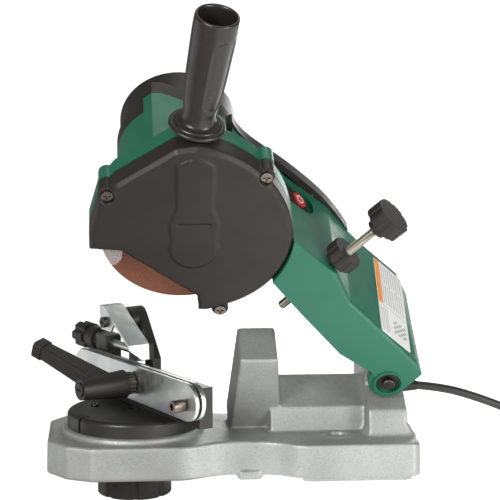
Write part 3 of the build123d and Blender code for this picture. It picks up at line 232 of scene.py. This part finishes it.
EXTRA = {                   # looks of single pieces, which keep the material slot of their neighbours
    "orange": moulded("label_orange", (0.80, 0.26, 0.04), 0.45, texture=700, strength=0.1, spread=0.03),
    "ink": moulded("label_ink", (0.34, 0.34, 0.35), 0.5, texture=700, strength=0.1),
    "print_white": moulded("button_print", (0.82, 0.82, 0.80), 0.4, texture=700, strength=0.1, spread=0.02),
    "mark": moulded("scale_mark", (0.17, 0.17, 0.165), 0.6, texture=700, strength=0.1),
    "screw_zinc": plated("yellow_zinc_thread", (0.36, 0.34, 0.27), 0.34),
    "grip": moulded("grip_moulding", shade(BLACK, 0.85), 0.30, texture=1900, depth=0.00003, strength=0.2),
}

SLOT_OF = {part["node"]: part["material_slot"] for part in frame["record"]["subparts"]}


# ---------------------------------------------------------------- CAD nodes: softened edges and materials
def fit_look(obj, slot):
    """Gives a piece its slot's material."""
    obj.data.materials.clear()
    obj.data.materials.append(LOOKS[slot])


def own_look(obj, look):
    """Gives a piece a look of its own; its slot stays as it is."""
    obj.data.materials[0] = EXTRA[look]


WELD_GAP = 0.000004
FLAT_ANGLE = radians(0.6)      # neighbouring faces within this angle are joined before the edges are rounded
SHARP_ANGLE = radians(28)      # edges sharper than this are rounded


def drop_custom_normals(mesh):
    """Takes off the shading the mesh came with, so that the modifiers decide it."""
    attribute = mesh.attributes.get("custom_normal")
    if attribute:
        mesh.attributes.remove(attribute)
    for name in ("sharp_edge", "sharp_face"):
        attribute = mesh.attributes.get(name)
        if attribute:
            mesh.attributes.remove(attribute)


def bevelled(obj, width):
    """Rounds every sharp edge of a crisp CAD node a little, with modifiers only."""
    drop_custom_normals(obj.data)
    obj.data.shade_smooth()
    weld = obj.modifiers.new("weld", "WELD")
    weld.merge_threshold = WELD_GAP
    flat = obj.modifiers.new("flat", "DECIMATE")
    flat.decimate_type = "DISSOLVE"
    flat.angle_limit = FLAT_ANGLE
    bevel = obj.modifiers.new("bevel", "BEVEL")
    bevel.width = width
    bevel.segments = 2
    bevel.limit_method = "ANGLE"
    bevel.angle_limit = SHARP_ANGLE
    bevel.miter_outer = "MITER_ARC"
    smooth = obj.modifiers.new("weighted", "WEIGHTED_NORMAL")
    smooth.mode = "FACE_AREA"
    smooth.weight = 80


def softened(node, voxel, passes, share):
    """Replaces a CAD node by a copy with cast or moulded edges: remeshed evenly, then smoothed."""
    obj = bpy.data.objects.new(node + "_skin", NODES[node].data.copy())
    bpy.context.scene.collection.objects.link(obj)
    drop_custom_normals(obj.data)
    remesh = obj.modifiers.new("remesh", "REMESH")
    remesh.mode = "VOXEL"
    remesh.voxel_size = voxel
    smooth = obj.modifiers.new("smooth", "SMOOTH")
    smooth.factor = 0.5
    smooth.iterations = passes
    thin = obj.modifiers.new("thin", "DECIMATE")
    thin.ratio = share
    applied(obj)
    obj.data.shade_smooth()
    fit_look(obj, SLOT_OF[node])
    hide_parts(node)
    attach(obj, BODY_OF[node])


def applied(obj):
    """Applies the modifiers of a piece to its mesh."""
    graph = bpy.context.evaluated_depsgraph_get()
    graph.update()
    mesh = bpy.data.meshes.new_from_object(obj.evaluated_get(graph))
    obj.modifiers.clear()
    obj.data = mesh


def build(name, bm, slot, body, replaces=(), smooth=True):
    """A new piece from a bmesh, riding on a body."""
    mesh = bpy.data.meshes.new(name)
    bmesh.ops.recalc_face_normals(bm, faces=bm.faces)
    bm.to_mesh(mesh)
    bm.free()
    obj = bpy.data.objects.new(name, mesh)
    bpy.context.scene.collection.objects.link(obj)
    if smooth:
        mesh.shade_smooth()
    fit_look(obj, slot)
    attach(obj, body)
    if replaces:
        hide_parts(*replaces)
    return obj


SOFT_NODES = {              # node: (voxel, smoothing passes, share of faces kept)
    "base_casting": (0.0013, 12, 0.5),
    "wheel_cover": (0.0010, 3, 0.5),
}
EDGE_WIDTH = 0.0004          # rounding of an edge, unless the node is listed below
EDGE = {"turntable_disc": 0.0008, "head_housing": 0.0016, "motor_cover": 0.0012, "arm_rear_cover": 0.0008,
        "jaw_block": 0.0007, "front_guide_plate": 0.0007, "rear_guide_plate": 0.0007, "clamp_lever": 0.0010,
        "chain_stop_carriage": 0.0010, "chain_stop_pawl": 0.0005, "depth_knob": 0.0011, "depth_lock_nut": 0.0008,
        "lock_knob": 0.0012, "adjuster_knob": 0.0007, "arm_label": 0.0001, "grinding_wheel": 0.0005}
REBUILT = ("power_cord", "cord_coil", "side_handle", "depth_screw")
for node, obj in NODES.items():
    fit_look(obj, SLOT_OF[node])
    if node in SOFT_NODES:
        softened(node, *SOFT_NODES[node])
    elif node not in REBUILT:
        bevelled(obj, EDGE.get(node, EDGE_WIDTH))

# ---------------------------------------------------------------- turned and threaded pieces
HANDLE_LEAN = radians(8)
HANDLE_RUN = X * sin(HANDLE_LEAN) + W * cos(HANDLE_LEAN)
HANDLE_FRAME = axes(head_point(-130.5, 52, 343), V, HANDLE_RUN)
STOP_ANGLE = radians(47)
STOP_RUN = X * cos(STOP_ANGLE) + W * sin(STOP_ANGLE)
STOP_FRAME = axes(head_point(-53, 36, 160.5), V, STOP_RUN)
TOP_NORMAL = (X + W).normalized()
ARM_RUN = (X - W).normalized()
SWITCH_FRAME = axes(head_point(-45.4, 98, 239.4), ARM_RUN, TOP_NORMAL)


def grid_faces(bm, rows, closed_rows=False):
    """Quads between neighbouring rings of vertices; the last ring joins the first if asked."""
    pairs = list(zip(rows, rows[1:]))
    if closed_rows:
        pairs.append((rows[-1], rows[0]))
    for low, high in pairs:
        for step in range(len(low)):
            after = (step + 1) % len(low)
            bm.faces.new((low[step], low[after], high[after], high[step]))


def turned(profile, place, segments=96, dent=None):
    """A closed ring of (radius, height) millimetres swept round an axis, with a dent taken off some radii."""
    bm = bmesh.new()
    rows = []
    for radius, height in profile:
        ring = []
        for step in range(segments):
            angle = 2 * pi * step / segments
            here = radius - (dent(radius, height, angle) if dent else 0.0)
            ring.append(bm.verts.new(place @ (Vector((here * cos(angle), here * sin(angle), height)) * MM)))
        rows.append(ring)
    grid_faces(bm, rows, closed_rows=True)
    return bm


def between(a, b, c, d, t):
    """A value on the smooth curve from b to c, with a before them and d after; t runs from 0 to 1."""
    linear = (c - a) * t
    square = (2 * a - 5 * b + 4 * c - d) * t * t
    cube = (3 * b - a - 3 * c + d) * t ** 3
    return 0.5 * (2 * b + linear + square + cube)


def curved(points, steps):
    """Points along a smooth curve through the given (radius, height) pairs."""
    found = []
    padded = [points[0], *points, points[-1]]
    for a, b, c, d in zip(padded, padded[1:], padded[2:], padded[3:]):
        for step in range(steps):
            t = step / steps
            found.append(tuple(between(a[k], b[k], c[k], d[k], t) for k in (0, 1)))
    return found + [points[-1]]


def ease(value, low, high):
    """0 below low, 1 above high, smooth between."""
    t = max(0.0, min(1.0, (value - low) / (high - low)))
    return t * t * (3 - 2 * t)


PANEL_DEPTH = 1.5
PANEL_TURN = radians(218)      # the middle of the sunk thumb panel, from V towards -X
PANEL_MIDDLE = 57.5            # its middle, along the grip
PANEL_STRAIGHT = 24            # half the length of its straight sides
PANEL_EDGE = (10.6, 12.6)      # where its rounded edge starts and ends, from its middle line
PANEL_R = 17.5                 # the grip's radius there


def thumb_panels(radius, height, angle):
    """How far two long panels sink into opposite sides of the grip."""
    if radius < 13.9 or height < 16 or (height > 60 and radius < 17):
        return 0.0
    depth = 0.0
    for turn in (PANEL_TURN, PANEL_TURN - pi):
        off = (angle - turn + pi) % (2 * pi) - pi
        across = abs(off) * PANEL_R
        end = max(0.0, abs(height - PANEL_MIDDLE) - PANEL_STRAIGHT)
        reach = (across ** 2 + end ** 2) ** 0.5
        depth += PANEL_DEPTH * (1 - ease(reach, *PANEL_EDGE))
    return depth


# The grip's outline in (radius, height), from its flange up round the lip and down the bore.
FLANGE = [(5.2, 0.0), (22.5, 0.0), (23.5, 0.35), (24.2, 1.2), (24.3, 2.4), (23.8, 3.5), (22.8, 4.1),
          (21.2, 4.3), (20.5, 4.5), (20.1, 5.2), (19.5, 5.9), (18.0, 6.3), (16.3, 6.9), (15.0, 8.2)]
GRIP = curved([(14.3, 10.5), (14.0, 15.5), (14.7, 21.0), (15.8, 29.0), (16.7, 38.0),
               (17.5, 54.0), (18.1, 72.0), (18.7, 90.0), (18.8, 101.0), (18.6, 106.5)], 8)
LIP = [(18.4, 107.8), (17.9, 108.7), (17.2, 109.0), (16.4, 108.8), (15.8, 108.0), (15.4, 106.5)]
BORE = [(14.8, 95.0), (12.6, 62.0), (9.6, 17.5), (9.2, 16.2), (5.2, 16.0)]
GRIP_SEGMENTS = 160
grip_mesh = turned(FLANGE + GRIP + LIP + BORE, HANDLE_FRAME, GRIP_SEGMENTS, thumb_panels)
own_look(build("handle_grip", grip_mesh, "black", "head", replaces=["side_handle"]), "grip")

THREAD_PITCH = 1.25
THREAD_ROWS = 6                # rings of vertices in one pitch
THREAD_DEPTH = 0.65
ROD_SEGMENTS = 28
ROD_CHAMFER = 0.9
STOP_LENGTH = 128
STOP_R = 4.0


def threaded_rod(place, length, radius):
    """A rod with a real helical thread; its ends are flat and chamfered."""
    bm = bmesh.new()
    rows = []
    count = int(length / THREAD_PITCH * THREAD_ROWS)
    for row in range(count + 1):
        height = length * row / count
        ring = []
        for step in range(ROD_SEGMENTS):
            phase = (height / THREAD_PITCH - step / ROD_SEGMENTS) % 1.0
            groove = max(0.0, min(1.0, 2.4 * abs(phase - 0.5) - 0.1))
            here = radius - THREAD_DEPTH * groove
            here = min(here, radius - ROD_CHAMFER + height, radius - ROD_CHAMFER + (length - height))
            angle = 2 * pi * step / ROD_SEGMENTS
            ring.append(bm.verts.new(place @ (Vector((here * cos(angle), here * sin(angle), height)) * MM)))
        rows.append(ring)
    grid_faces(bm, rows)
    bm.faces.new(rows[0])
    bm.faces.new(rows[-1])
    return bm


rod_mesh = threaded_rod(STOP_FRAME, STOP_LENGTH, STOP_R)
own_look(build("depth_screw_thread", rod_mesh, "zinc", "stop_screw", replaces=["depth_screw"]), "screw_zinc")


# ---------------------------------------------------------------- printed and marked pieces
def tile(bm, place, centre, size, height=0.07, turn=0.0):
    """A thin raised rectangle, sizes in millimetres, on a local frame."""
    flat = Matrix.Rotation(turn, 4, "Z")
    middle = Matrix.Translation(Vector((*centre, height / 2)) * MM)
    shape = Matrix.Diagonal((size[0] * MM, size[1] * MM, height * MM, 1))
    bmesh.ops.create_cube(bm, size=1, matrix=place @ middle @ flat @ shape)


def printed(name, bm, look, slot, body):
    """A flat-shaded piece with a look of its own."""
    own_look(build(name, bm, slot, body, smooth=False), look)


LABEL_T = 0.4
low = head_point(52, 0, 133)
high = head_point(46, 118, 146.5)
label_run = high - low
label_run = (label_run - ARM_RUN * label_run.dot(ARM_RUN)).normalized()
label_normal = ARM_RUN.cross(label_run)
label_centre = head_point(49.5, 0, 135.5) + label_run * 63 * MM + label_normal * LABEL_T * MM
LABEL_FRAME = axes(label_centre, label_run, label_normal)

bm = bmesh.new()
tile(bm, LABEL_FRAME, (20, 16.2), (59, 6.4))
printed("label_band", bm, "orange", "red", "head")
bm = bmesh.new()
for line in range(9):
    for start, end in ((-7, 20), (23, 47)) if line % 3 else ((-7, 47),):
        tile(bm, LABEL_FRAME, ((start + end) / 2, 10.6 - 3.3 * line), (end - start, 0.75))
for line in range(4):
    tile(bm, LABEL_FRAME, (-30, 16.5 - 2.6 * line), (34 - 5 * (line % 2), 0.7))
tile(bm, LABEL_FRAME, (-11, 0), (0.5, 38.5))
tile(bm, LABEL_FRAME, (-30, 19.0), (38, 0.4))
printed("label_rules", bm, "ink", "cord", "head")
bm = bmesh.new()
for row in range(6):
    for column in range(6):
        if (row + column) % 2:
            tile(bm, LABEL_FRAME, (-38 + 3 * column, -15 + 3 * row), (2.7, 2.7))
printed("label_boxes", bm, "ink", "cord", "head")

BUTTON_PITCH = 26.0
BUTTON_TOP = 2.6
stop_face = SWITCH_FRAME @ Matrix.Translation(Vector((BUTTON_PITCH / 2, 0, BUTTON_TOP)) * MM)
start_face = SWITCH_FRAME @ Matrix.Translation(Vector((-BUTTON_PITCH / 2, 0, BUTTON_TOP)) * MM)
STOP_RING = [(3.2, -0.2), (4.6, -0.2), (4.6, 0.1), (3.2, 0.1)]
printed("stop_ring", turned(STOP_RING, stop_face, 48), "print_white", "white", "stop_button")
bm = bmesh.new()
tile(bm, start_face, (0, 0), (1.5, 7.6), 0.1)
printed("start_bar", bm, "print_white", "white", "start_button")

BASE_TOP = 35.0
nose = Matrix.Translation(Vector((TABLE_X, 0, BASE_TOP - 0.15)) * MM)
bm = bmesh.new()
MARK_STEP = radians(5)
MARK_START = 66.0
for step in range(-13, 14):
    turn = pi + MARK_STEP * step
    length = 5.0 if step % 3 == 0 else 3.0
    reach = MARK_START + length / 2
    tile(bm, nose, (reach * cos(turn), reach * sin(turn)), (length, 0.45), 0.25, turn)
printed("angle_marks", bm, "mark", "cast", "base")

# ---------------------------------------------------------------- power cord
CORD_R = 0.004
TO_COIL = [(85.5, 45, 61.5), (110, 45.5, 59), (142, 46.5, 49.5), (178, 48, 35), (214, 52, 20), (250, 59.5, 9),
           (277.5, 67.5, 5)]
TO_PLUG = [(302, 140, 12.6), (301, 160, 11), (296, 180, 6.5), (286, 199, 6.5), (272, 220, 9)]
COIL_CENTRE = (250.0, 120.0)
COIL_ENTRY = radians(-40)
COIL_STEPS = [              # turns made, radius and height: three turns below, then one and a bit on top
    (0.0, 54.4, 4.2), (0.75, 54.4, 4.2), (1.0, 46.2, 4.2), (1.75, 46.2, 4.2), (2.0, 38.0, 4.2),
    (2.45, 38.0, 4.2), (2.7, 38.0, 12.3), (2.82, 42.1, 12.3), (3.22, 42.1, 12.3), (3.47, 50.3, 12.3),
    (4.0 + 40 / 360, 50.3, 12.3)]
TURN_POINTS = 18


def cord_points():
    """The route's points, with the coil's turns worked out between its two open stretches."""
    points = [Vector(place) for place in TO_COIL]
    grow = 1 / (0.75 + 0.25 * cos(2 * pi / TURN_POINTS))
    for step in range(round(COIL_STEPS[-1][0] * TURN_POINTS) + 1):
        turn = min(step / TURN_POINTS, COIL_STEPS[-1][0])
        for before, after in zip(COIL_STEPS, COIL_STEPS[1:]):
            if turn <= after[0]:
                break
        share = ease(turn, before[0], after[0])
        radius = before[1] + (after[1] - before[1]) * share
        height = before[2] + (after[2] - before[2]) * share
        angle = COIL_ENTRY + 2 * pi * turn
        points.append(Vector((COIL_CENTRE[0] + radius * grow * cos(angle),
                              COIL_CENTRE[1] + radius * grow * sin(angle), height)))
    points += [Vector(place) for place in TO_PLUG]
    return [point * MM for point in points]


curve = bpy.data.curves.new("power_cord_flex", "CURVE")
curve.dimensions = "3D"
curve.bevel_depth = CORD_R
curve.bevel_resolution = 6
curve.resolution_u = 8
curve.use_fill_caps = True
spline = curve.splines.new("NURBS")
route = cord_points()
spline.points.add(len(route) - 1)
for point, place in zip(spline.points, route):
    point.co = (*place, 1)
spline.order_u = 3
spline.use_endpoint_u = True
flex = bpy.data.objects.new("power_cord_flex", curve)
bpy.context.scene.collection.objects.link(flex)
flex.data.materials.append(LOOKS["cord"])
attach(flex, "base")
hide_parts("power_cord", "cord_coil")

# ---------------------------------------------------------------- stage, light and camera
BENCH_EDGE = -0.112            # the slab ends here, under the nose, so that the lock knob hangs free
BENCH_SIZE = 3.0
BENCH_THICK = 0.03
BENCH_TOP = -0.0005
bench_place = Matrix.Translation((BENCH_EDGE + BENCH_SIZE / 2, 0, BENCH_TOP - BENCH_THICK / 2))
bench_shape = Matrix.Diagonal((BENCH_SIZE, BENCH_SIZE, BENCH_THICK, 1))
bm = bmesh.new()
bmesh.ops.create_cube(bm, size=1, matrix=bench_place @ bench_shape)
mesh = bpy.data.meshes.new("bench")
bm.to_mesh(mesh)
bm.free()
bench = bpy.data.objects.new("bench", mesh)
bench.data.materials.append(shader_of("bench_top", (0.9, 0.9, 0.9), 0.6, Emission_Color=(1, 1, 1, 1),
                                      Emission_Strength=0.78)[0])
bpy.context.scene.collection.objects.link(bench)

CAMERA_WHITE = 1.1             # what the camera sees behind the object
ROOM_LIGHT = 0.6               # what lights it
BRIGHT_SIDE = (0.0, -0.8, -0.6)
world = bpy.data.worlds.new("studio")
bpy.context.scene.world = world
world.use_nodes = True
sky = world.node_tree
backdrop = sky.nodes["Background"]
backdrop.inputs["Color"].default_value = (1, 1, 1, 1)
backdrop.inputs["Strength"].default_value = CAMERA_WHITE
surround = sky.nodes.new("ShaderNodeBackground")
surround.inputs["Strength"].default_value = ROOM_LIGHT
facing = sky.nodes.new("ShaderNodeVectorMath")
facing.operation = "DOT_PRODUCT"
facing.inputs[1].default_value = BRIGHT_SIDE
sky.links.new(sky.nodes.new("ShaderNodeTexCoord").outputs["Generated"], facing.inputs[0])
room_shades = ramp(sky, facing.outputs["Value"], [(0.0, (0.30, 0.31, 0.31)), (0.7, (1, 1, 1))])
sky.links.new(room_shades, surround.inputs["Color"])
choose = sky.nodes.new("ShaderNodeMixShader")
sky.links.new(sky.nodes.new("ShaderNodeLightPath").outputs["Is Camera Ray"], choose.inputs[0])
sky.links.new(surround.outputs[0], choose.inputs[1])
sky.links.new(backdrop.outputs[0], choose.inputs[2])
sky.links.new(choose.outputs[0], sky.nodes["World Output"].inputs["Surface"])

AIM = Vector((-0.077, 0.0, 0.2))


def softbox(name, place, size, power):
    """A rectangular soft light aimed at the object."""
    light = bpy.data.lights.new(name, "AREA")
    light.shape = "RECTANGLE"
    light.size, light.size_y = size
    light.energy = power
    obj = bpy.data.objects.new(name, light)
    obj.location = place
    obj.rotation_euler = (AIM - Vector(place)).to_track_quat("-Z", "Y").to_euler()
    bpy.context.scene.collection.objects.link(obj)


softbox("key", (-1.1, -1.6, 0.9), (0.7, 0.9), 30)
softbox("fill", (1.3, -1.4, 0.4), (0.6, 1.0), 22)
softbox("top", (0.2, 0.5, 1.6), (1.0, 1.0), 4)
softbox("back", (0.5, 1.9, 0.45), (1.2, 0.7), 14)
softbox("side", (-1.69, 0.68, -0.19), (1.3, 1.3), 4)     # what the front guide plate mirrors

VIEW_FROM = Vector((-0.0690, -0.9869, 0.1461))
VIEW_DISTANCE = 1.688
camera_data = bpy.data.cameras.new("camera")
camera_data.sensor_width = 36
camera_data.lens = 133.2
camera_data.clip_start = 0.05
camera = bpy.data.objects.new("camera", camera_data)
camera.location = AIM + VIEW_FROM * VIEW_DISTANCE
camera.rotation_euler = (AIM - camera.location).to_track_quat("-Z", "Y").to_euler()
bpy.context.scene.collection.objects.link(camera)
bpy.context.scene.camera = camera
bpy.context.scene.view_settings.view_transform = "Standard"
